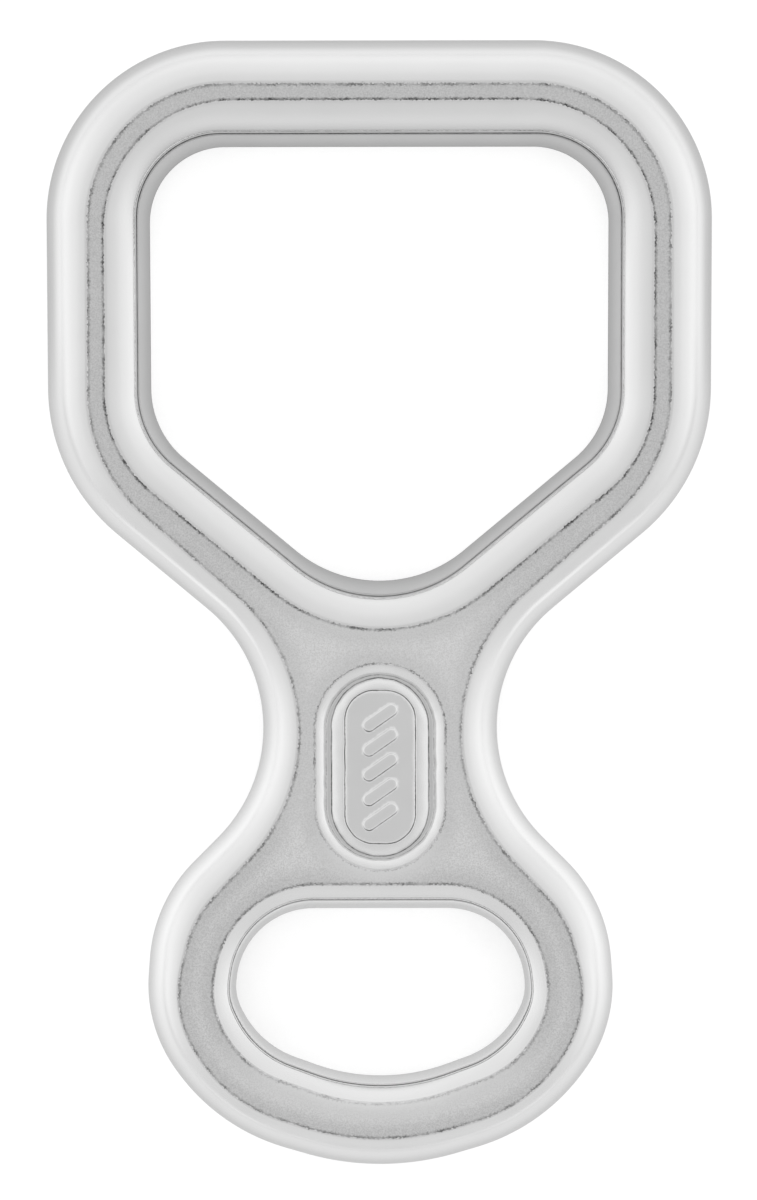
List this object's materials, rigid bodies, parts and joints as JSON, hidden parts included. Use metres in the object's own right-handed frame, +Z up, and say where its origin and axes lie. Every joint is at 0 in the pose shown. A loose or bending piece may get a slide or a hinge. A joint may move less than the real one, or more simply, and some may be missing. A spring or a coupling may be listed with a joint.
{
  "type": "figure-eight descender",
  "caption": "Solid forged aluminium figure-eight belay and abseil device with a square-shouldered rope opening, a waisted neck with an oval badge, and an oval carabiner eye.",
  "frame": {"origin": "middle of the footprint, on the surface that the device lies on", "axes": "+Y along the length towards the rope opening, +Z up through the thickness, +X across"},
  "size_m": [0.074, 0.125, 0.0115],
  "materials": {
    "forged_aluminium": "tumble-polished satin on the rounded sides, matt on the flat faces"
  },
  "bodies": {
    "root": {"descender_body": "forged_aluminium"}
  },
  "joints": []
}
